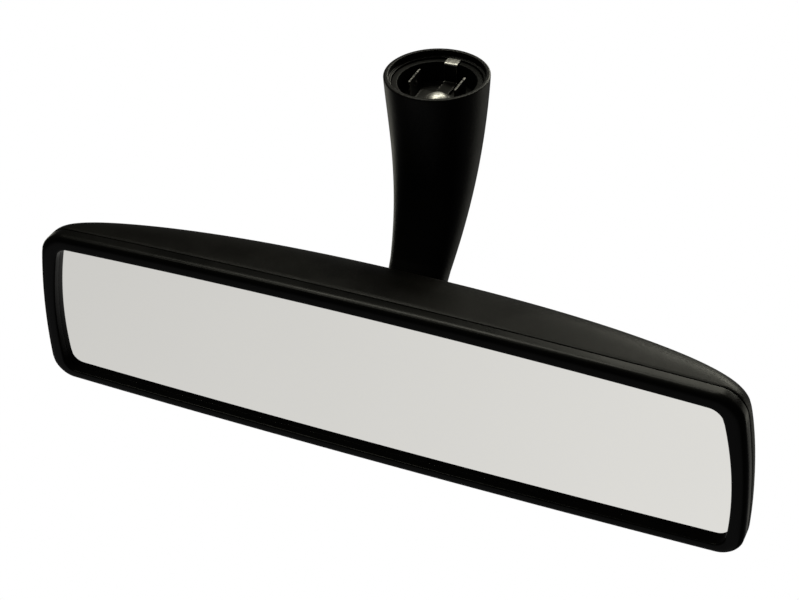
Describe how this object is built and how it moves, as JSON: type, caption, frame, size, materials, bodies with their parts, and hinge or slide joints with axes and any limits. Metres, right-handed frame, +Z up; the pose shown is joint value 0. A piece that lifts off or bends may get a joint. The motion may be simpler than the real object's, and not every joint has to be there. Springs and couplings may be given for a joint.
{
  "type": "interior rearview mirror",
  "caption": "Car interior mirror: a wide glass in a black bezel and curved rear housing, on a ball joint under a curved arm with a round socket for the windscreen.",
  "frame": {"origin": "middle of the socket's rim, where the arm meets the windscreen mount", "axes": "+Z up out of the socket along its axis, the glass faces -Y towards the driver, +X along the length of the head"},
  "size_m": [0.241, 0.0744, 0.1117],
  "materials": {
    "arm_paint": "fine-grained satin black",
    "housing": "fine-grained satin black",
    "bezel": "smooth black with a soft sheen",
    "mirror": "silvered, flat",
    "bright_steel": "zinc plated, bright",
    "dark_steel": "black phosphate",
    "black_plastic": "moulded, matte",
    "acetal": "natural white, waxy",
    "film": "safety film, dark",
    "foam": "closed-cell foam, dark grey"
  },
  "bodies": {
    "arm": {"arm": "arm_paint", "ball_stud": "bright_steel", "stud_pin": "bright_steel", "socket_insert": "black_plastic", "retaining_clip": "dark_steel", "locking_spring": "dark_steel", "clip_rivet": "bright_steel"},
    "swing_liner": {"inner_liner": "acetal"},
    "tip_liner": {"outer_liner": "acetal"},
    "head": {"rear_housing": "housing", "bezel": "bezel", "mirror_glass": "mirror", "backing_film": "film", "foam_pads": "foam", "carrier_plate": "dark_steel", "carrier_screws": "bright_steel", "ball_cup": "black_plastic", "cup_screws": "bright_steel", "clamp_ring": "dark_steel", "clamp_screws": "bright_steel", "clamp_springs": "bright_steel"}
  },
  "joints": [
    {"name": "head_swing", "type": "hinge", "parent": "arm", "child": "swing_liner", "pos_m": [0, -0.033, -0.0833], "axis": [0, 0, 1], "range_deg": [-12, 12]},
    {"name": "head_tip", "type": "hinge", "parent": "swing_liner", "child": "tip_liner", "pos_m": [0, -0.033, -0.0833], "axis": [1, 0, 0], "range_deg": [-8, 8]},
    {"name": "head_roll", "type": "hinge", "parent": "tip_liner", "child": "head", "pos_m": [0, -0.033, -0.0833], "axis": [0, 1, 0], "range_deg": [-6, 6]}
  ]
}
